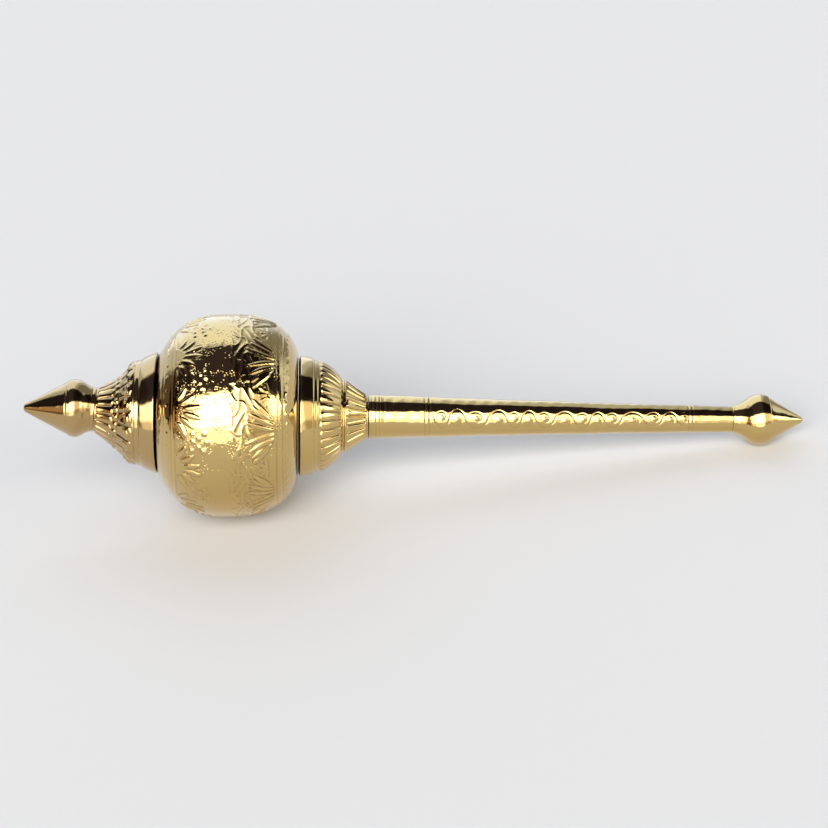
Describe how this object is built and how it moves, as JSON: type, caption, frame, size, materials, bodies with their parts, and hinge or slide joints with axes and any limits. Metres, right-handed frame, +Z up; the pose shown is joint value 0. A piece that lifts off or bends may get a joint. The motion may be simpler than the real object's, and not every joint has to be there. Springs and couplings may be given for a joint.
{
  "type": "ceremonial mace",
  "caption": "Lying brass mace: pointed finial, petalled front cap, big chased globe, gadrooned rear cap with a fluted neck, slim tapering handle and cone pommel",
  "frame": {"origin": "middle of the footprint, on the ground the mace lies on", "axes": "+X along the mace from the finial to the pommel, level; +Z up; the mace's own axis slopes down 8 degrees towards +X in the XZ plane"},
  "size_m": [0.6032, 0.1578, 0.1571],
  "materials": {
    "satin_brass": "worn hand-polished, darker in the chasing",
    "polished_brass": "hand-polished, slightly uneven"
  },
  "bodies": {
    "root": {"tip_finial": "satin_brass", "front_cap": "satin_brass", "globe_head": "polished_brass", "rear_cap": "polished_brass", "handle_tube": "polished_brass", "pommel": "polished_brass"}
  },
  "joints": []
}
